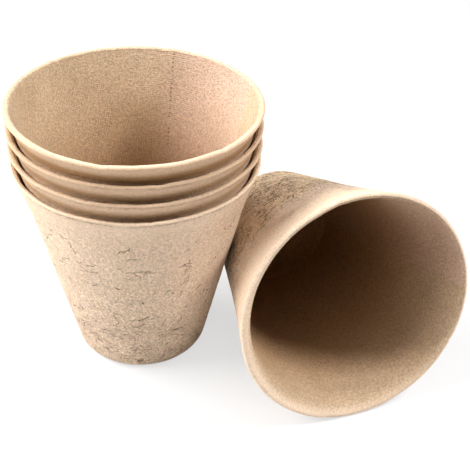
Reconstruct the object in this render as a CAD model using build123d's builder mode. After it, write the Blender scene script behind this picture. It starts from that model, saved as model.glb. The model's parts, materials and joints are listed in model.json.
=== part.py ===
from build123d import *
import os
from math import acos, asin, atan, atan2, cos, degrees, hypot, pi, sin, sqrt

# A set of five round peat pots: four stand nested in one another, and a loose one lies beside them.
# The origin is the middle of the bottom pot's foot, on the table. +Z is up the nest's axis, and the
# loose pot's mouth faces -Y. All sizes are in millimetres.

# One pot
rim_diameter = 80.0
pot_height = 75.0
foot_diameter = 45.5
wall = 1.0
floor_thickness = 1.5
foot_round = 3.5
corner_round = 2.4

# The rim, where the wall flares out and ends in a rounded bead
rim_flare = 1.2
flare_height = 6.0
bead_height = 1.2
bead_proud = 0.3
lip_thickness = 1.8
lip_inner_round = 0.5

# How the pots are set together
nest_gap = 0.15
flare_gap = 0.2
leaning_gap = 0.3
loose_foot_back = 17.5
lean_steps = 90

nested_pots = ["bottom_pot", "second_pot", "third_pot", "top_pot"]
loose_pot = "loose_pot"

# The wall is a cone whose line runs from the foot's edge to a point just inside the rim.
rim_radius = rim_diameter / 2
foot_radius = foot_diameter / 2
taper = (rim_radius - rim_flare - foot_radius) / pot_height
taper_angle = atan(taper)
wall_across = wall / cos(taper_angle)
flare_start = pot_height - flare_height
lip_inner_radius = rim_radius - lip_thickness

# The bead is part of a circle in the pot's section. The flare ends on it, below its widest point.
bead_round = bead_height / 2
bead_centre = (rim_radius - bead_round, pot_height - bead_round)
bead_start_angle = -degrees(acos(1 - bead_proud / bead_round))

# A pot sinks into the one below until the root of its flare is at the lip, or until wall meets wall.
nest_across = nest_gap / cos(taper_angle)
wall_pitch = (wall_across + nest_across) / taper
lip_pitch = (lip_thickness - rim_flare + nest_across) / taper
pitch = max(flare_height + flare_gap, wall_pitch, lip_pitch, floor_thickness + nest_gap)

# The loose pot lies on its bead and the round of its foot, so its axis tilts up towards the mouth.
foot_centre_radius = foot_radius + taper * foot_round - foot_round / cos(taper_angle)
rise = bead_centre[1] - foot_round
spread = bead_centre[0] - foot_centre_radius
tilt = atan2(spread, rise) - asin((foot_round - bead_round) / hypot(spread, rise))
loose_foot_height = foot_centre_radius * cos(tilt) - foot_round * sin(tilt) + foot_round


def cone_radius(height):
    """Outer radius of the wall's cone at a height above the pot's own foot."""
    return foot_radius + taper * height


def outer_radius(height):
    """Outer radius with room for the flare, and the rim's own radius above the rim."""
    if height > pot_height:
        return rim_radius
    return cone_radius(height) + (rim_flare if height > flare_start else 0)


def lean_distance():
    """Least distance between the nest's axis and the loose pot's axis, found by stepping over its side."""
    needed = []
    for step in range(lean_steps + 1):
        along = pot_height * step / lean_steps
        radius = outer_radius(along)
        for turn in range(lean_steps + 1):
            angle = pi * turn / lean_steps - pi / 2
            above = radius * sin(angle)
            y = loose_foot_back - along * cos(tilt) + above * sin(tilt)
            z = loose_foot_height + along * sin(tilt) + above * cos(tilt)
            reach = outer_radius(max(z, 0)) ** 2 - y**2
            if reach > 0:
                needed.append(radius * cos(angle) + sqrt(reach))
    return leaning_gap + max(needed, default=2 * rim_radius)


def make_pot(label, base):
    """One moulded pot, revolved about the base plane's normal, with its foot's middle at the plane's origin."""
    section = Plane(origin=base.origin, x_dir=base.x_dir, z_dir=-base.y_dir)
    slope = (taper, 1)
    foot_corner = (foot_radius, 0)
    inner_corner = (cone_radius(floor_thickness) - wall_across, floor_thickness)
    outer_flare = (cone_radius(flare_start), flare_start)
    inner_flare = (cone_radius(flare_start) - wall_across, flare_start)
    lip_inner = (lip_inner_radius, pot_height)
    lip_foot = (lip_inner_radius, pot_height - bead_height)
    rounded = [(foot_corner, foot_round), (inner_corner, corner_round), (lip_inner, lip_inner_round)]

    with BuildPart() as pot:
        with BuildSketch(section) as profile:
            with BuildLine():
                bead = CenterArc(bead_centre, bead_round, bead_start_angle, 90 - bead_start_angle)
                Line((0, 0), foot_corner)
                Line(foot_corner, outer_flare)
                TangentArc(outer_flare, bead @ 0, tangent=slope)
                Line(bead @ 1, lip_inner)
                Line(lip_inner, lip_foot)
                TangentArc(inner_flare, lip_foot, tangent=slope)
                Line(inner_flare, inner_corner)
                Line(inner_corner, (0, floor_thickness))
                Line((0, floor_thickness), (0, 0))
            make_face()
            for corner, radius in rounded:
                fillet(profile.vertices().sort_by_distance(corner)[0], radius)
        revolve(axis=Axis(base.origin, base.z_dir))
    pot.part.label = label
    return pot.part


os.makedirs("parts", exist_ok=True)

# The nest, from the bottom pot up
for level, name in enumerate(nested_pots):
    export_step(make_pot(name, Plane.XY.offset(level * pitch)), f"parts/{name}.step")

# The loose pot on its side
loose_x = lean_distance()
loose_base = Plane(
    origin=(loose_x, loose_foot_back, loose_foot_height),
    x_dir=(1, 0, 0),
    z_dir=(0, -cos(tilt), sin(tilt)),
)
export_step(make_pot(loose_pot, loose_base), f"parts/{loose_pot}.step")

# The point on the table about which the loose pot rolls: the tip of the cone it rolls on
apex_back = loose_foot_back + loose_foot_height / sin(tilt) * cos(tilt)
print("nesting pitch", round(pitch, 3), "taper in degrees", round(degrees(taper_angle), 3))
print("loose pot tilt", round(degrees(tilt), 3), "foot middle", round(loose_x, 3), round(loose_foot_height, 3))
print("rolls about", round(loose_x, 3), round(apex_back, 3))
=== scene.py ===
"""Looks of a set of moulded peat pots: four nested, one lying loose. Lengths are in metres."""
import json
from math import asin, atan, atan2, cos, hypot, pi, radians, sin, tan, tau

import bpy
import numpy as np
from mathutils import Matrix, Vector


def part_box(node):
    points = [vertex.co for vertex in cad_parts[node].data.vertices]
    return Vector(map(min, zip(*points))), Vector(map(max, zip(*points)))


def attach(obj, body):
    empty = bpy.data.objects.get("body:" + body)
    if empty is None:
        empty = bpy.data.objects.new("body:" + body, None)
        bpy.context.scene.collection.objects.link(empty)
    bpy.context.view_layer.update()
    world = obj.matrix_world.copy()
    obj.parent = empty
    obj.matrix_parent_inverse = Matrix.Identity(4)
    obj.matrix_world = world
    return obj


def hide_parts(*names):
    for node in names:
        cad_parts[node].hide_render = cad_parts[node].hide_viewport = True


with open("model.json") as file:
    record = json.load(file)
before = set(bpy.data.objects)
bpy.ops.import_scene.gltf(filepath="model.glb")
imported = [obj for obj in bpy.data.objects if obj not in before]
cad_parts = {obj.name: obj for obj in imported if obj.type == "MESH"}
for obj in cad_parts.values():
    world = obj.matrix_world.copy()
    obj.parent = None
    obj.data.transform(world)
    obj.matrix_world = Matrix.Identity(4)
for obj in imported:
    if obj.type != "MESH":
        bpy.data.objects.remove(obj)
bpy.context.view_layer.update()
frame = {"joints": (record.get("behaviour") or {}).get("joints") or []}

# One pot. Its rim and height come from the frame, the rest repeats the part's own sizes.
box_low, box_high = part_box("bottom_pot")
rim_radius = (box_high.x - box_low.x) / 2
pot_height = box_high.z - box_low.z
foot_radius = 0.02275
wall = 0.0010
floor_thickness = 0.0015
foot_round = 0.0035
corner_round = 0.0024
rim_flare = 0.0012
rim_zone = 0.006
bead_height = 0.0012
bead_proud = 0.0003

# What follows from those sizes
taper = (rim_radius - rim_flare - foot_radius) / pot_height
taper_angle = atan(taper)
wall_across = wall / cos(taper_angle)
zone_start = pot_height - rim_zone
bead_round = bead_height / 2
bead_centre = np.array([rim_radius - bead_round, pot_height - bead_round])
foot_centre = np.array([foot_radius + taper * foot_round - foot_round / cos(taper_angle), foot_round])

# How finely a pot is divided: columns around it, and rows along each run of its section
columns = 420
rows = {
    "foot": 7, "heel": 8, "wall": 137, "flare": 18, "bead": 9,
    "lip": 14, "throat": 8, "lining": 20, "corner": 6, "floor": 7,
}

# Runs that make the rough outside and the lining. The bead lies between them.
outer_runs = ["foot", "heel", "wall", "flare"]
inner_runs = ["lip", "throat", "lining", "corner", "floor"]

nested_pots = ["bottom_pot", "second_pot", "third_pot", "top_pot"]
loose_pot = "loose_pot"

# How the pots differ. Shape: seed, radius of the rim's outer round, size across and depth of its inner round, how
# far the inner edge sits off the axis, height over which the wall flares, how proud the bead stands. Looks: how
# dark the fold under the bead is, its dark line a painted shade, how much painted highlight the rim takes, or
# below zero how much painted shade, how much painted shade lies on the band above the pot below, how many long and
# short cracks it has, how strong its wrinkles are, how high up they and its rough face go, and the heights between
# which the painted shade of its lining turns from dark to light.
pots = {
    "bottom_pot": {
        "seed": 11, "round": 0.0006, "mouth": (0.0011, 0.0009), "off_axis": (0, 0), "flare": 0.018, "bead": 0.5,
        "fold": 0.9, "rim_light_and_shade": -0.3, "painted_band_shade": 0.0, "long_cracks": 110, "short_cracks": 260,
        "wrinkles": 0.6, "wrinkle_top": 0.032, "rough_top": 0.075, "lining_painted_shade_heights": (0.012, 0.074),
    },
    "second_pot": {
        "seed": 23, "round": 0.0006, "mouth": (0.0011, 0.0008), "off_axis": (0, 0), "flare": 0.006, "bead": 0.6,
        "fold": 0.9, "rim_light_and_shade": -0.5, "painted_band_shade": 1.5, "long_cracks": 60, "short_cracks": 200,
        "wrinkles": 0.6, "wrinkle_top": 0.040, "rough_top": 0.075, "lining_painted_shade_heights": (0.012, 0.074),
    },
    "third_pot": {
        "seed": 37, "round": 0.0006, "mouth": (0.0011, 0.0008), "off_axis": (0, 0), "flare": 0.006, "bead": 0.6,
        "fold": 0.8, "rim_light_and_shade": -0.6, "painted_band_shade": 1.7, "long_cracks": 60, "short_cracks": 200,
        "wrinkles": 0.6, "wrinkle_top": 0.040, "rough_top": 0.075, "lining_painted_shade_heights": (0.012, 0.074),
    },
    "top_pot": {
        "seed": 41, "round": 0.0006, "mouth": (0.0014, 0.0007), "off_axis": (0.00015, 0.00037), "flare": 0.006,
        "bead": 0.45, "fold": 0.4, "rim_light_and_shade": 0.45, "painted_band_shade": 2.2, "long_cracks": 60, "short_cracks": 200,
        "wrinkles": 0.6, "wrinkle_top": 0.040, "rough_top": 0.075, "lining_painted_shade_heights": (0.012, 0.074),
    },
    "loose_pot": {
        "seed": 59, "round": 0.0010, "mouth": (0.0023, 0.0050), "off_axis": (0.0008, 0.0007), "flare": 0.042,
        "bead": 0.1, "fold": 0.0, "rim_light_and_shade": 0.5, "painted_band_shade": 0.0, "long_cracks": 90, "short_cracks": 420,
        "wrinkles": 1.6, "wrinkle_top": 0.068, "rough_top": 0.063, "lining_painted_shade_heights": (0.025, 0.092),
    },
}


def cone(height):
    """Outer radius of the straight wall: the foot's radius plus the taper times the height."""
    return foot_radius + taper * height


def straight(start, end, count):
    """Points on a straight run of the section: the start plus an even share of the way to the end."""
    share = np.linspace(0, 1, count + 1)[:, None]
    return np.asarray(start) * (1 - share) + np.asarray(end) * share


def round_run(centre, radius, start, end, count):
    """Points on a circle of the section, at even angles from start to end. Two radii make it an ellipse."""
    angle = np.linspace(start, end, count + 1)
    return np.asarray(centre) + np.asarray(radius) * np.stack([np.cos(angle), np.sin(angle)], 1)


def side_run(heights, inset, flare_start, end_radius, end_height):
    """One side of the wall at these heights: the cone less the inset, plus a spread that grows as the square of
    the way up from the flare's start, so that the side meets the end radius at the end height."""
    spread = end_radius - (cone(end_height) - inset)
    share = np.clip((heights - flare_start) / (end_height - flare_start), 0, 1)
    return np.stack([cone(heights) - inset + spread * share**2, heights], 1)


def section(pot):
    """The pot's section as (radius, height) rows: from the middle of the foot, up the outside, over the rim and
    down the inside to the middle of the floor. Also the name of the run that each row belongs to."""
    rim_round = pot["round"]
    rim_centre = bead_centre - (rim_round - bead_round) * (1 + sin(taper_angle))
    bead_start = -np.arccos(1 - pot["bead"] * bead_proud / rim_round)
    flare_start = pot_height - pot["flare"]
    corner_height = floor_thickness + corner_round
    corner_inset = wall_across + corner_round / cos(taper_angle)
    corner_centre = np.array([cone(corner_height) - corner_inset, corner_height])
    across, deep = pot["mouth"]
    lip_centre = np.array([rim_centre[0], rim_centre[1] + rim_round - deep])
    lip_end = pi - atan(taper * deep / across)
    heel = round_run(foot_centre, foot_round, -pi / 2, -taper_angle, rows["heel"])
    bead = round_run(rim_centre, rim_round, bead_start, pi / 2, rows["bead"])
    lip = round_run(lip_centre, (across, deep), pi / 2, lip_end, rows["lip"])
    corner = round_run(corner_centre, corner_round, -taper_angle, -pi / 2, rows["corner"])
    middle = foot_centre[0] / rows["foot"]
    ends = {"flare_start": flare_start, "inset": 0, "end_radius": bead[0][0], "end_height": bead[0][1]}
    inner_ends = ends | {"inset": wall_across, "end_radius": lip[-1][0], "end_height": lip[-1][1]}
    runs = {
        "foot": straight((middle, 0), heel[0], rows["foot"]),
        "heel": heel,
        "wall": side_run(np.linspace(heel[-1][1], zone_start, rows["wall"] + 1), **ends),
        "flare": side_run(np.linspace(zone_start, bead[0][1], rows["flare"] + 1), **ends),
        "bead": bead,
        "lip": lip,
        "throat": side_run(np.linspace(lip[-1][1], zone_start, rows["throat"] + 1), **inner_ends),
        "lining": side_run(np.linspace(zone_start, corner[0][1], rows["lining"] + 1), **inner_ends),
        "corner": corner,
        "floor": straight(corner[-1], (middle, floor_thickness), rows["floor"]),
    }
    points = np.concatenate([runs["foot"][:1]] + [run[1:] for run in runs.values()])
    names = np.concatenate([["foot"]] + [[name] * (len(run) - 1) for name, run in runs.items()])
    return points, names


def smooth(low, high, value):
    """Rises from 0 at low to 1 at high, flat at both ends."""
    share = np.clip((value - low) / (high - low), 0, 1)
    return share * share * (3 - 2 * share)


def lattice_noise(points, cell, rng):
    """Smooth random values from 0 to 1: random numbers on a lattice of that cell, eased between its corners."""
    size = 64
    table = rng.random((size, size, size))
    scaled = points / np.asarray(cell)
    corner = np.floor(scaled).astype(int)
    way = scaled - corner
    way = way * way * (3 - 2 * way)
    value = np.zeros(points.shape[:-1])
    for step in np.ndindex(2, 2, 2):
        weight = np.prod(np.where(step, way, 1 - way), axis=-1)
        index = (corner + step) % size
        value += weight * table[index[..., 0], index[..., 1], index[..., 2]]
    return value


# How fast the waves round a rim get smaller as they get shorter
wave_falloff = 0.6


def ring_wave(angle, orders, rng):
    """A closed wave round the rim: sines of whole orders, at random sizes and phases, within -1 and 1."""
    order = np.asarray(orders)[:, None]
    size = rng.normal(size=order.shape) / order**wave_falloff
    wave = (size * np.sin(order * angle + tau * rng.random(order.shape))).sum(0)
    return wave / np.abs(wave).max()


# Cracks on the unrolled wall. They lie in layers, so that a fork doesn't wipe out the crack that it leaves. Then
# come how high up they go, how far they slant in radians, how far from its line a crack's values are kept and the
# share of that where they start to fade, how its ends taper, its bow and jags, and how wide it is cut.
crack_layers = ["crack_a", "crack_b", "crack_c", "crack_d", "crack_e"]
crack_top = 0.064
crack_slant = 0.75
crack_reach = 0.0013
crack_reach_fade = 0.6
crack_taper = 0.6
crack_bow = 0.16
crack_jag = 0.00022
crack_jag_length = 0.0034
crack_depth_width = 0.0003
long_crack = {"lengths": (0.0030, 0.0085), "strengths": (0.40, 0.95), "lowness": 0.9}
short_crack = {"lengths": (0.0014, 0.0042), "strengths": (0.40, 0.75), "lowness": 1.4}

# Forks, as shares of the cracks that they leave: how many, how far from the middle, length and strength. Their
# turn away from the crack is in radians.
fork_count = 0.5
fork_from = 0.3
fork_turn = (0.5, 1.1)
fork_length = (0.3, 0.6)
fork_strength = 0.8


def plan_cracks(span, count, lengths, strengths, lowness, rng):
    """Random cracks and forks, a row each: middle, angle, length, strength and layer. A higher lowness puts more
    of them low on the wall. A fork is a shorter branch, and leaves its crack at 30 to 60 degrees."""
    middle = np.stack([rng.random(count) * span, crack_top * rng.random(count) ** lowness], 1)
    angle = rng.normal(0, crack_slant, count)
    length = rng.uniform(*lengths, count)
    strength = rng.uniform(*strengths, count)
    layer = np.arange(count) % len(crack_layers)
    leaves = rng.uniform(-fork_from, fork_from, count) * length
    branch_angle = angle + rng.choice([-1, 1], count) * rng.uniform(*fork_turn, count)
    branch_length = length * rng.uniform(*fork_length, count)
    branch_middle = middle + leaves[:, None] * np.stack([np.cos(angle), np.sin(angle)], 1)
    branch_middle += branch_length[:, None] / 2 * np.stack([np.cos(branch_angle), np.sin(branch_angle)], 1)
    branch_layer = (layer + 1) % len(crack_layers)
    whole = np.column_stack([middle, angle, length, strength, layer])
    branches = np.column_stack([
        branch_middle, branch_angle, branch_length, fork_strength * strength, branch_layer,
    ])
    return np.concatenate([whole, branches[rng.random(count) < fork_count]])


def draw_cracks(around, along, span, plan, rng):
    """Layers of crack lines. Each crack is a line, bent by a parabola and a small wave. In its layer a point near
    it holds the distance across the line, as a share of the reach, and the crack's strength, which falls off
    towards the crack's ends and at the reach. Also how deep the wall is cut: a bell across each line."""
    lines = np.zeros((len(crack_layers), *around.shape, 3))
    lines[..., 0] = 1
    depth = np.zeros_like(around)
    for x, y, angle, length, strength, layer in plan:
        dx = (around - x + span / 2) % span - span / 2
        dy = along - y
        near = np.nonzero((np.abs(dx) < length) & (np.abs(dy) < length))
        u = dx[near] * cos(angle) + dy[near] * sin(angle)
        v = dy[near] * cos(angle) - dx[near] * sin(angle)
        v -= rng.normal(0, crack_bow) / length * u**2
        v -= crack_jag * np.sin(tau * (u / crack_jag_length + rng.random()))
        share = strength * np.clip(1 - (2 * u / length) ** 2, 0, 1) ** crack_taper
        shown = share * (1 - smooth(crack_reach_fade, 1, np.abs(v) / crack_reach))
        hit = shown > 0
        spot = (near[0][hit], near[1][hit])
        lines[int(layer)][spot] = np.stack([v / crack_reach, shown, 0 * v], 1)[hit]
        depth[near] = np.maximum(depth[near], share * np.exp(-((v / crack_depth_width) ** 2)))
    return lines, depth


# Fields that the finishes read. The rough face thins out up the wall and fades at its top, where noise blurs its
# end, as it does the wrinkles' end.
rough_thins = (0.030, 0.068)
rough_thinned = 0.4
rough_fade = 0.008
rough_faded = 0.85
rough_end_noise = 0.003
rough_end_size = 0.009
wrinkle_fade = 0.5
wrinkle_end_noise = 0.4
wrinkle_end_size = 0.010

# Painted shade on the nested pots: a dark line where the rim zone starts, at the lip of the pot below, and a
# lighter shade on the band above it
band_shade_edge = (-0.0004, 0.0012)
band_shade_level = 0.5
band_shade_line = 0.0019

# Cracks show on rough pulp alone, and the fold in patches
crack_needs_rough = (0.2, 0.7)
fold_patches = (0.15, 0.45)
fold_patch_size = 0.006

# How far the rim's painted highlight and painted shade reach down each side, and how much less painted highlight,
# and past that more painted shade, a thin side of the lip takes
rim_reach_outside = 0.0024
rim_reach_inside = 0.0010
rim_reach_mouth = 0.5
thin_side_shades = 1.6

# Lumps of the outside and the lining, depth of the cracks, and the rim's waves and nicks
lump_depth = 0.00022
lump_share = 0.6
lump_size = 0.006
small_lump_size = 0.0028
lining_lump_depth = 0.00005
lining_lump_size = 0.0025
crack_depth = 0.00025
ragged_height = 0.00016
ragged_orders = [3, 4, 5, 7, 9, 11, 13, 19, 29, 37, 53]
nick_count = 6
nick_depth = (0.0001, 0.0003)
nick_width = (0.01, 0.05)
wavy_radius = 0.00008
wavy_orders = [3, 4, 6, 9, 14, 23, 41]
off_axis_fade = (0.055, 0.070)


def pot_surface(name):
    """A pot in its own frame, foot at the origin, axis up: the section carried round the axis, pushed along its
    normal by lumps and cracks, and at the rim down and inwards by waves. Also the way along the section, its runs,
    and the numbers and vectors that the finishes read at each point."""
    pot = pots[name]
    rng = np.random.default_rng(pot["seed"])
    profile, runs = section(pot)
    along = np.concatenate([[0], np.cumsum(np.hypot(*np.diff(profile, axis=0).T))])
    tangent = np.gradient(profile, axis=0)
    normal = np.stack([tangent[:, 1], -tangent[:, 0]], 1)
    normal /= np.linalg.norm(normal, axis=1, keepdims=True)
    angle = np.arange(columns) * tau / columns
    radius = np.repeat(profile[:, :1], columns, 1)
    height = np.repeat(profile[:, 1:], columns, 1)
    turn = np.repeat(angle[None], len(profile), 0)
    plain = np.stack([radius * np.cos(turn), radius * np.sin(turn), height], -1)
    shifted = plain + rng.random(3)

    outside = np.isin(runs, outer_runs)[:, None]
    inside = np.isin(runs, inner_runs)[:, None]
    off_foot = smooth(0, foot_round, height)
    rough_end = pot["rough_top"] - rough_end_noise * lattice_noise(shifted, rough_end_size, rng)
    rough = outside * (1 - rough_thinned * smooth(*rough_thins, height))
    rough = rough * (1 - rough_faded * smooth(-rough_fade, 0, height - rough_end))
    wrinkle_end = wrinkle_end_noise * (lattice_noise(shifted, wrinkle_end_size, rng) - 0.5)
    low = 1 - smooth(wrinkle_fade, 1, height / pot["wrinkle_top"] + wrinkle_end)
    wrinkled = outside * low * pot["wrinkles"] * off_foot
    above_zone = height - zone_start
    # Painted shade: a dark line at the foot of the rim zone, where the lip of the pot below sits, and a lighter
    # band above it
    painted_band_shade = band_shade_level * smooth(*band_shade_edge, above_zone) + np.exp(-((above_zone / band_shade_line) ** 2))
    painted_band_shade = painted_band_shade * pot["painted_band_shade"] * (1 - inside)

    span = tau * (foot_radius + rim_radius) / 2
    plan = np.concatenate([
        plan_cracks(span, pot["long_cracks"], **long_crack, rng=rng),
        plan_cracks(span, pot["short_cracks"], **short_crack, rng=rng),
    ])
    lines, depth = draw_cracks(turn * span / tau, height, span, plan, rng)
    lines[..., 1] *= smooth(*crack_needs_rough, rough) * off_foot
    # The fold: a groove cut under the bead, whose dark line in the finish is painted shade
    off_fold = (along - along[np.argmax(runs == "bead") - 1])[:, None] * np.ones(columns) / crack_reach
    patches = smooth(*fold_patches, lattice_noise(shifted, fold_patch_size, rng))
    fold = pot["fold"] * patches * (np.abs(off_fold) < 1)
    lines = np.concatenate([lines, np.stack([np.clip(off_fold, -1, 1), fold, 0 * fold], -1)[None]])
    fold_depth = fold * np.exp(-((off_fold * crack_reach / crack_depth_width) ** 2))
    marks = np.maximum(depth * rough * off_foot, fold_depth)

    # Painted shade in the lining: dark low down, turning to light between the pot's two heights
    deep = inside * (1 - smooth(*pot["lining_painted_shade_heights"], height))
    past_rim = along - along[np.argmax(runs == "lip") - 1]
    reach_inside = rim_reach_inside + rim_reach_mouth * pot["mouth"][0]
    rim_reach = np.where(past_rim > 0, reach_inside, rim_reach_outside)
    off_axis = np.asarray(pot["off_axis"])
    thin_side = (off_axis @ np.stack([np.cos(angle), np.sin(angle)])) / max(hypot(*off_axis), wall)
    # The rim's paint: above zero a painted highlight, below zero a painted shade, with less highlight on the thin
    # side of the lip
    rim = pot["rim_light_and_shade"] * np.exp(-((past_rim / rim_reach) ** 2))[:, None] * (1 - thin_side_shades * thin_side)

    lumps = lump_share * lattice_noise(shifted, lump_size, rng)
    lumps += (1 - lump_share) * lattice_noise(shifted, small_lump_size, rng)
    push = -lump_depth * lumps * rough - crack_depth * marks
    push += lining_lump_depth * (lattice_noise(shifted, lining_lump_size, rng) - 0.5) * inside
    radius = radius + push * normal[:, :1]
    height = height + push * normal[:, 1:]

    edge = smooth(zone_start, pot_height, height) ** 2
    ragged = ragged_height * (ring_wave(angle, ragged_orders, rng) - 1)
    for _ in range(nick_count):
        away = (angle - rng.random() * tau + pi) % tau - pi
        ragged -= rng.uniform(*nick_depth) * np.exp(-((away / rng.uniform(*nick_width)) ** 2))
    height = height + edge * ragged
    radius = radius + edge * wavy_radius * (ring_wave(angle, wavy_orders, rng) - 1)

    place = np.stack([radius * np.cos(turn), radius * np.sin(turn), height], -1)
    over_lip = smooth(0, past_rim[np.argmax(runs == "throat")], past_rim)[:, None]
    place[..., :2] += off_axis * (over_lip * smooth(*off_axis_fade, height))[..., None]
    fields = {"rough": rough, "wrinkled": wrinkled, "painted_band_shade": painted_band_shade, "rim": rim, "deep": deep}
    vectors = dict(zip(crack_layers + ["fold"], lines)) | {"own_place": shifted}
    return place, along, runs, fields, vectors


def pot_mesh(name, matrix, materials):
    """Makes the pot's closed mesh: the surface's grid, joined round its seam, with a fan at each pole. Its UV map
    holds the share of a turn from the pot's own +X, and the share of the way along the section."""
    place, along, runs, fields, vectors = pot_surface(name)
    count = len(place)
    poles = np.array([[0, 0, place[0, :, 2].mean()], [0, 0, place[-1, :, 2].mean()]])
    local = np.concatenate([place.reshape(-1, 3), poles])
    turned = local @ np.array(matrix.to_3x3()).T + np.array(matrix.translation)

    row, column = np.meshgrid(np.arange(count - 1), np.arange(columns), indexing="ij")
    here, above = row * columns, (row + 1) * columns
    after = (column + 1) % columns
    quads = np.stack([here + column, here + after, above + after, above + column], -1).reshape(-1, 4)
    ring = np.arange(columns)
    ring_after = (ring + 1) % columns
    last = (count - 1) * columns
    foot_fan = np.stack([np.full(columns, count * columns), ring_after, ring], -1)
    floor_fan = np.stack([np.full(columns, count * columns + 1), last + ring, last + ring_after], -1)
    faces = quads.tolist() + foot_fan.tolist() + floor_fan.tolist()
    mesh = bpy.data.meshes.new(name + "_pulp")
    mesh.from_pydata(turned.tolist(), [], faces)

    u = np.stack([column, column + 1, column + 1, column], -1).ravel() / columns
    v = np.stack([along[row], along[row], along[row + 1], along[row + 1]], -1).ravel() / along[-1]
    foot_u = np.stack([ring + 0.5, ring + 1, ring], -1).ravel() / columns
    floor_u = np.stack([ring + 0.5, ring, ring + 1], -1).ravel() / columns
    wrap = np.stack([
        np.concatenate([u, foot_u, floor_u]),
        np.concatenate([v, np.zeros_like(foot_u), np.ones_like(floor_u)]),
    ], 1)
    mesh.uv_layers.new(name="wrap").data.foreach_set("uv", wrap.ravel())

    for field, values in fields.items():
        layer = mesh.attributes.new(field, "FLOAT", "POINT")
        layer.data.foreach_set("value", np.concatenate([values.ravel(), values[0, :1], values[-1, :1]]))
    for field, values in vectors.items():
        layer = mesh.attributes.new(field, "FLOAT_VECTOR", "POINT")
        ends = np.stack([values[0].mean(0), values[-1].mean(0)])
        layer.data.foreach_set("vector", np.concatenate([values.reshape(-1, 3), ends]).ravel())

    row_kind = np.isin(runs[1:], inner_runs).astype(int)
    index = np.concatenate([np.repeat(row_kind, columns), np.zeros(columns, int), np.ones(columns, int)])
    for material in materials:
        mesh.materials.append(material)
    mesh.polygons.foreach_set("material_index", index)
    mesh.polygons.foreach_set("use_smooth", np.ones(len(faces), bool))
    mesh.update()
    piece = bpy.data.objects.new(name + "_shell", mesh)
    bpy.context.scene.collection.objects.link(piece)
    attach(piece, name)
    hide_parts(name)


class Finish:
    """A material and short calls for its nodes. A node's input takes a value, or a socket to link to it."""

    def __init__(self, name):
        self.material = bpy.data.materials.new(name)
        self.material.use_nodes = True
        self.tree = self.material.node_tree
        self.shader = self.tree.nodes["Principled BSDF"]

    def node(self, kind, inputs, **settings):
        """A new node with these settings and inputs."""
        made = self.tree.nodes.new(kind)
        for key, value in settings.items():
            setattr(made, key, value)
        for key, value in inputs.items():
            self.set(made, key, value)
        return made

    def set(self, node, key, value):
        """Puts a value on a node's input, or links a socket to it."""
        if isinstance(value, bpy.types.NodeSocket):
            self.tree.links.new(value, node.inputs[key])
        else:
            node.inputs[key].default_value = value

    def field(self, name):
        """A number that the mesh carries at each of its points."""
        return self.node("ShaderNodeAttribute", {}, attribute_name=name).outputs["Fac"]

    def own_place(self, stretch=(1, 1, 1)):
        """The place on the pot in its own frame, with its axes stretched."""
        place = self.node("ShaderNodeAttribute", {}, attribute_name="own_place").outputs["Vector"]
        return self.node("ShaderNodeMapping", {"Vector": place, "Scale": stretch}).outputs["Vector"]

    def vector(self, operation, first, second):
        """One step of arithmetic on two vectors. A number counts for all three axes."""
        return self.node("ShaderNodeVectorMath", {0: first, 1: second}, operation=operation).outputs[0]

    def math(self, operation, first, second=0.0):
        """One step of arithmetic on one or two numbers."""
        return self.node("ShaderNodeMath", {0: first, 1: second}, operation=operation).outputs[0]

    def times(self, *values):
        """The product of several values."""
        total = values[0]
        for value in values[1:]:
            total = self.math("MULTIPLY", total, value)
        return total

    def noise(self, vector, size, detail, rough=0.5):
        """Noise whose lumps are about that size, in metres."""
        inputs = {"Vector": vector, "Scale": 1 / size, "Detail": detail, "Roughness": rough}
        return self.node("ShaderNodeTexNoise", inputs).outputs["Fac"]

    def line(self, layer, jag, half_width, edge):
        """1 on the cracks of a layer and 0 off them. A crack is as wide as it is strong, has a soft edge, and the
        jag, a length, moves its line about."""
        values = self.node("ShaderNodeAttribute", {}, attribute_name=layer).outputs["Vector"]
        parts = self.node("ShaderNodeSeparateXYZ", {"Vector": values})
        off = self.math("ABSOLUTE", self.math("ADD", self.times(parts.outputs["X"], crack_reach), jag))
        inward = self.math("SUBTRACT", self.times(parts.outputs["Y"], half_width + edge), off)
        return self.step(inward, 0, edge)

    def step(self, value, low, high):
        """0 below low and 1 above high, eased between them. High may be the lower of the two."""
        inputs = {"Value": value, "From Min": low, "From Max": high}
        return self.node("ShaderNodeMapRange", inputs, interpolation_type="SMOOTHSTEP").outputs["Result"]

    def range(self, value, low, high):
        """A value from 0 to 1 spread from low to high."""
        return self.node("ShaderNodeMapRange", {"Value": value, "To Min": low, "To Max": high}).outputs["Result"]

    def mix(self, share, first, second):
        """The first colour at a share of 0, the second at 1."""
        made = self.node("ShaderNodeMix", {0: share}, data_type="RGBA")
        self.set(made, 6, first)
        self.set(made, 7, second)
        return made.outputs[2]

    def stain(self, colour, mark, share, paint):
        """The colour, taken over by a paint where the mark is, up to a share."""
        return self.mix(self.times(mark, share), colour, paint)

    def rim_paint(self, colour, rim):
        """A painted highlight where the rim's field is above zero, and a painted shade where it is below."""
        colour = self.stain(colour, rim, rim_share, rim_highlight_colour)
        return self.stain(colour, rim, -rim_share, rim_shade_colour)

    def tone(self, colour, value, share=1.0):
        """The colour made lighter or darker by a factor, in full or by a share."""
        part = self.math("ADD", self.times(self.math("SUBTRACT", value, 1.0), share), 1.0)
        return self.vector("MULTIPLY", colour, part)

    def done(self, colour, bump_height, bump_depth, grain):
        """Gives the shader its colour and bump. The pulp is rougher where its grain is high."""
        bump = self.node("ShaderNodeBump", {"Height": bump_height, "Distance": bump_depth, "Strength": 1.0})
        self.set(self.shader, "Base Color", colour)
        self.set(self.shader, "Roughness", self.range(grain, *pulp_roughness))
        self.set(self.shader, "Normal", bump.outputs["Normal"])
        self.shader.inputs["Specular IOR Level"].default_value = pulp_specular
        return self.material


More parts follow.
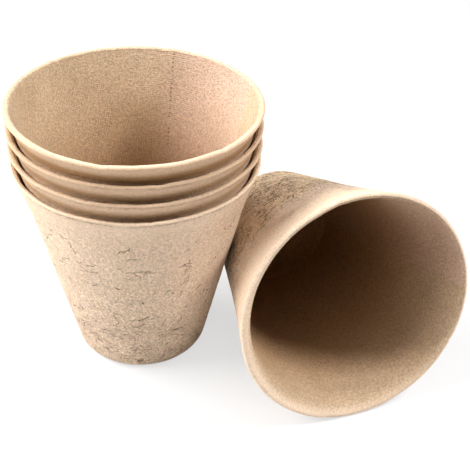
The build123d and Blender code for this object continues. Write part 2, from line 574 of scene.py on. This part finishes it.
# How the cracks and the fold are drawn: half the width of a strong one, its soft edge, and how far noise moves it
crack_half_width = 0.00016
crack_edge = 0.00007
fold_half_width = 0.00010
fold_edge = 0.00035
crack_noise = 0.0016
crack_noise_size = 0.0014
crack_noise_detail = 2

# Colours of the pulp
tan_light = (0.82, 0.635, 0.47, 1)
tan_deep = (0.79, 0.60, 0.44, 1)
tan_pink = (0.80, 0.59, 0.45, 1)
wrinkle_ochre = (0.80, 0.57, 0.32, 1)
lining_light = (0.605, 0.450, 0.305, 1)
lining_deep = (0.53, 0.385, 0.250, 1)
lining_pink = (0.63, 0.44, 0.335, 1)
# Painted shade that the lining turns to towards its floor
lining_painted_shade = (0.24, 0.105, 0.026, 1)
# The rim's painted highlight and painted shade
rim_highlight_colour = (0.82, 0.63, 0.47, 1)
rim_shade_colour = (0.38, 0.265, 0.185, 1)
# Brown of the sand, which also colours the painted shade on the band above the pot below
sand_and_shade_brown = (0.46, 0.265, 0.130, 1)
# Painted shade in the fold under the bead
fold_shade_brown = (0.22, 0.115, 0.05, 1)
crack_brown = (0.16, 0.060, 0.016, 1)

# Matte pulp: roughness over its grain, a weak shine, and how far the rim's painted highlight and painted shade
# take over
pulp_roughness = (0.86, 0.98)
pulp_specular = 0.15
rim_share = 0.8

# The outside. Noises: size of the lumps, detail, roughness. Edges: where a value starts and ends to make a mark.
# Shares: how far a mark takes the colour over. Tones: darkest and lightest grain. Bump: its depth, and how much
# each mark adds to it.
outside_noise = {
    "clouds": (0.016, 2), "blush": (0.006, 3), "grain": (0.0008, 3, 0.65), "sand": (0.0007, 2, 0.6),
    "swell": (0.0034, 3, 0.6), "gaps": (0.0050, 1),
}
outside_edge = {
    "clouds": (0.32, 0.68), "blush": (0.48, 0.68), "grain": (0.28, 0.72), "sand": (0.54, 0.66),
    "creases": (0.034, 0.010), "gaps": (0.36, 0.56), "ochre": (0.6, 1.6),
}
outside_share = {
    "blush": 0.5, "ochre": 0.4, "sand": 0.30, "painted_band_shade": 0.42, "fold": 0.45, "creases": 0.72, "cracks": 0.90,
}
swell_stretch = (1, 1, 2.6)
outside_tones = (0.74, 1.28)
smooth_pulp_tone = 0.42
smooth_pulp_bump = 0.25
outside_bump = {"depth": 0.00034, "sand": 0.5, "swell": 1.5, "cracks": 1.5}


def pulp_outside():
    """Rough moulded face: clouded tan, sandy grain, creases low down, where a stretched noise passes its middle,
    and the cracks and fold that the mesh carries, the fold's dark line a painted shade, with the painted shade of
    the band above the pot below. Strong wrinkles are more ochre. Towards the rim it turns smooth, with a painted
    highlight where the rim's field is above zero and a painted shade where it is below."""
    f = Finish("pulp_outside")
    place = f.own_place()
    rough, wrinkled, rim = f.field("rough"), f.field("wrinkled"), f.field("rim")
    noise, edge, share = outside_noise, outside_edge, outside_share
    clouds = f.step(f.noise(place, *noise["clouds"]), *edge["clouds"])
    blush = f.step(f.noise(place, *noise["blush"]), *edge["blush"])
    grain = f.step(f.noise(place, *noise["grain"]), *edge["grain"])
    sand = f.times(f.step(f.noise(place, *noise["sand"]), *edge["sand"]), rough)
    swell = f.noise(f.own_place(swell_stretch), *noise["swell"])
    creases = f.step(f.math("ABSOLUTE", f.math("SUBTRACT", swell, 0.5)), *edge["creases"])
    creases = f.times(creases, f.step(f.noise(place, *noise["gaps"]), *edge["gaps"]), wrinkled)
    wander = f.math("SUBTRACT", f.noise(place, crack_noise_size, crack_noise_detail), 0.5)
    jag = f.times(wander, crack_noise)
    fold = f.line("fold", jag, fold_half_width, fold_edge)
    cracks = 0.0
    for layer in crack_layers:
        cracks = f.math("MAXIMUM", f.line(layer, jag, crack_half_width, crack_edge), cracks)
    colour = f.mix(clouds, tan_deep, tan_light)
    colour = f.stain(colour, blush, share["blush"], tan_pink)
    colour = f.stain(colour, f.step(wrinkled, *edge["ochre"]), share["ochre"], wrinkle_ochre)
    colour = f.rim_paint(colour, rim)
    colour = f.tone(colour, f.range(grain, *outside_tones), f.range(rough, smooth_pulp_tone, 1.0))
    colour = f.stain(colour, sand, share["sand"], sand_and_shade_brown)
    # Painted shade on the band above the pot below
    colour = f.stain(colour, f.field("painted_band_shade"), share["painted_band_shade"], sand_and_shade_brown)
    # The fold's dark line: painted shade
    colour = f.stain(colour, fold, share["fold"], fold_shade_brown)
    colour = f.stain(colour, creases, share["creases"], crack_brown)
    colour = f.stain(colour, cracks, share["cracks"], crack_brown)
    bump = f.math("SUBTRACT", grain, f.times(sand, outside_bump["sand"]))
    bump = f.times(bump, f.range(rough, smooth_pulp_bump, 1.0))
    bump = f.math("ADD", bump, f.times(swell, wrinkled, outside_bump["swell"]))
    bump = f.math("SUBTRACT", bump, f.math("ADD", f.times(cracks, outside_bump["cracks"]), creases))
    return f.done(colour, bump, outside_bump["depth"], grain)


# The lining, and the print of the felt on it: threads round the pot, rows along its section, and the felt's seam,
# whose place and width are shares of a turn
felt_threads = 320
felt_rows = 260
seam_turn_share = 0.1555
seam_stitches = 130
lining_noise = {
    "patches": (0.010, 2), "clouds": (0.024, 2), "grain": (0.0007, 3, 0.65), "specks": (0.0009, 2),
    "worn": (0.004, 1),
}
lining_edge = {
    "patches": (0.35, 0.7), "net_depth": (1.0, 0.7), "clouds": (0.35, 0.68), "specks": (0.58, 0.68),
    "seam": (0.0020, 0.0007), "stitch": (-0.1, 0.5), "worn": (0.35, 0.55), "off_rim": (0.1, 0.0),
    "pink_start": (-0.05, 0.04), "pink_end": (0.35, 0.20),
}
lining_share = {"pink": 0.8, "deep": 0.85, "specks": 0.36, "seam": 0.68}
lining_tones = (0.24, 1.76)
rim_tone = 0.4
net_tone = 1.025
lining_bump = {"depth": 0.00032, "net": 0.12}


def felt_lining():
    """Inside face: granular, with the faint net of the felt that the pulp dried on, and its dotted seam. To one
    side of the seam it is a little pinker. It darkens with depth, a painted shade, and near the rim it takes the
    rim's painted highlight and painted shade."""
    f = Finish("felt_lining")
    place = f.own_place()
    rim, deep = f.field("rim"), f.field("deep")
    noise, edge, share = lining_noise, lining_edge, lining_share
    wrap = f.node("ShaderNodeUVMap", {}, uv_map="wrap").outputs["UV"]
    parts = f.node("ShaderNodeSeparateXYZ", {"Vector": wrap})
    u, v = parts.outputs["X"], parts.outputs["Y"]
    across = f.math("SINE", f.times(u, felt_threads * tau))
    upward = f.math("SINE", f.times(v, felt_rows * tau))
    patchy = f.times(f.step(f.noise(place, *noise["patches"]), *edge["patches"]), f.step(deep, *edge["net_depth"]))
    net = f.times(f.math("ADD", across, upward), patchy)
    clouds = f.step(f.noise(place, *noise["clouds"]), *edge["clouds"])
    grain = f.noise(place, *noise["grain"])
    specks = f.step(f.noise(place, *noise["specks"]), *edge["specks"])
    off_seam = f.math("ABSOLUTE", f.math("SUBTRACT", u, seam_turn_share))
    stitch = f.step(f.math("SINE", f.times(v, seam_stitches * tau)), *edge["stitch"])
    worn = f.times(f.step(f.noise(place, *noise["worn"]), *edge["worn"]), f.step(rim, *edge["off_rim"]))
    seam = f.times(f.step(off_seam, *edge["seam"]), stitch, worn)
    past_seam = f.math("SUBTRACT", seam_turn_share, u)
    pink_side = f.times(f.step(past_seam, *edge["pink_start"]), f.step(past_seam, *edge["pink_end"]))
    colour = f.mix(clouds, lining_light, lining_deep)
    colour = f.stain(colour, pink_side, share["pink"], lining_pink)
    # Painted shade towards the lining's floor
    colour = f.stain(colour, deep, share["deep"], lining_painted_shade)
    colour = f.rim_paint(colour, rim)
    colour = f.tone(colour, f.range(grain, *lining_tones), f.range(rim, 1.0, rim_tone))
    colour = f.tone(colour, f.range(net, 1.0, net_tone))
    colour = f.stain(colour, specks, f.range(rim, share["specks"], 0.0), sand_and_shade_brown)
    colour = f.stain(colour, seam, share["seam"], crack_brown)
    bump = f.math("ADD", grain, f.times(net, lining_bump["net"]))
    return f.done(colour, bump, lining_bump["depth"], grain)


def loose_place():
    """The loose pot's place: on its bead and heel, tilted up towards the mouth, rolling about its cone's tip."""
    rise = bead_centre[1] - foot_centre[1]
    spread = bead_centre[0] - foot_centre[0]
    tilt = atan2(spread, rise) - asin((foot_round - bead_round) / hypot(spread, rise))
    foot_height = foot_centre[0] * cos(tilt) - foot_round * sin(tilt) + foot_round
    roll = next(joint for joint in frame["joints"] if joint["child"] == loose_pot)
    back = roll["pos_m"][1] - foot_height / tan(tilt)
    return Matrix.Translation((roll["pos_m"][0], back, foot_height)) @ Matrix.Rotation(pi / 2 - tilt, 4, "X")


finishes = [pulp_outside(), felt_lining()]
for name in nested_pots:
    pot_mesh(name, Matrix.Translation((0, 0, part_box(name)[0].z)), finishes)
pot_mesh(loose_pot, loose_place(), finishes)


def direction(azimuth, elevation):
    """From the middle of the set outwards: azimuth 0 is the front, -Y, and 90 the right, +X, in degrees."""
    turn, rise = radians(azimuth), radians(elevation)
    return Vector((sin(turn) * cos(rise), -cos(turn) * cos(rise), sin(rise)))


# The camera, at the photograph's angle. The lens is its focal length as a share of the picture's width.
view_azimuth = -21.36
view_elevation = 36.62
view_roll = 0.055
view_target = Vector((0.0363, 0.0029, 0.0319))
view_distance = 0.300
sensor = 36.0
lens_share = 816.6 / 470
view_clip = 0.01


def make_camera():
    """The camera looks at its target from its azimuth and elevation, then rolls about its own axis."""
    back = direction(view_azimuth, view_elevation)
    right = Vector((-back.y, back.x, 0)).normalized()
    up = back.cross(right)
    rolled_right = right * cos(view_roll) + up * sin(view_roll)
    rolled_up = up * cos(view_roll) - right * sin(view_roll)
    camera = bpy.data.objects.new("camera", bpy.data.cameras.new("camera"))
    camera.data.sensor_width = sensor
    camera.data.lens = lens_share * sensor
    camera.data.clip_start = view_clip
    axes = Matrix((rolled_right, rolled_up, back)).transposed().to_4x4()
    camera.matrix_world = Matrix.Translation(view_target + back * view_distance) @ axes
    bpy.context.scene.collection.objects.link(camera)
    bpy.context.scene.camera = camera


# The lamps: azimuth, elevation, size across and level. All aim at one point, from one distance.
lamps = {
    "left": (261, 42, 0.36, 1.17),
    "back_left": (228, 32, 0.40, 0.84),
    "right": (70, 49, 0.18, 1.05),
    "top": (-28, 64, 0.50, 0.25),
}
lamp_aim = Vector((0.03, -0.01, 0.04))
lamp_distance = 0.7


def soft_lamp(name, azimuth, elevation, size, level):
    """A round soft box. At level 1 a surface that faces it is lit so that its colour renders as written."""
    lamp = bpy.data.lights.new(name, "AREA")
    lamp.shape = "DISK"
    lamp.size = size
    lamp.energy = level * (pi * lamp_distance) ** 2
    holder = bpy.data.objects.new(name, lamp)
    away = direction(azimuth, elevation)
    turn = away.to_track_quat("Z", "Y").to_matrix().to_4x4()
    holder.matrix_world = Matrix.Translation(lamp_aim + away * lamp_distance) @ turn
    bpy.context.scene.collection.objects.link(holder)


def seen_or_mirrored(tree):
    """1 for rays from the camera, a mirror or glass, and 0 for the rest."""
    path = tree.nodes.new("ShaderNodeLightPath")
    total = path.outputs["Is Camera Ray"]
    for name in ("Is Glossy Ray", "Is Transmission Ray"):
        most = tree.nodes.new("ShaderNodeMath")
        most.operation = "MAXIMUM"
        tree.links.new(total, most.inputs[0])
        tree.links.new(path.outputs[name], most.inputs[1])
        total = most.outputs[0]
    return total


def make_world():
    """A world that looks white and gives no light of its own."""
    world = bpy.data.worlds.new("studio")
    bpy.context.scene.world = world
    world.use_nodes = True
    background = world.node_tree.nodes["Background"]
    background.inputs["Color"].default_value = (1, 1, 1, 1)
    world.node_tree.links.new(seen_or_mirrored(world.node_tree), background.inputs["Strength"])


# The floor: its grey for bounced light and as seen, the white that it adds where seen, and the distances from its
# middle between which it turns plain white
floor_size = 3.0
floor_drop = 0.0001
floor_grey = 0.76
floor_grey_seen = 0.28
floor_glow = 0.65
floor_near = 0.18
floor_far = 0.45


def make_floor():
    """A pale floor that looks white and takes the shadow. Its UV map holds metres from its middle, because away
    from the pots, where there is no shadow to show, it turns plain white."""
    half = floor_size / 2
    mesh = bpy.data.meshes.new("floor")
    corners = [(x * half, y * half, -floor_drop) for x, y in [(-1, -1), (1, -1), (1, 1), (-1, 1)]]
    mesh.from_pydata(corners, [], [(0, 1, 2, 3)])
    mesh.uv_layers.new(name="metres").data.foreach_set("uv", np.array(corners)[:, :2].ravel())
    floor = bpy.data.objects.new("floor", mesh)
    bpy.context.scene.collection.objects.link(floor)
    f = Finish("floor")
    f.tree.nodes.remove(f.shader)
    seen = seen_or_mirrored(f.tree)
    metres = f.node("ShaderNodeUVMap", {}, uv_map="metres").outputs["UV"]
    distance = f.node("ShaderNodeVectorMath", {0: metres}, operation="LENGTH").outputs["Value"]
    far = f.step(distance, floor_near, floor_far)
    grey = f.range(seen, floor_grey, f.range(far, floor_grey_seen, 0.0))
    matte = f.node("ShaderNodeBsdfDiffuse", {"Color": grey})
    glow = f.node("ShaderNodeEmission", {"Strength": f.times(seen, f.range(far, floor_glow, 1.0))})
    both = f.node("ShaderNodeAddShader", {0: matte.outputs[0], 1: glow.outputs[0]})
    f.tree.links.new(both.outputs[0], f.tree.nodes["Material Output"].inputs["Surface"])
    mesh.materials.append(f.material)


make_camera()
make_world()
make_floor()
for name, place in lamps.items():
    soft_lamp(name, *place)

bpy.context.scene.view_settings.view_transform = "Standard"
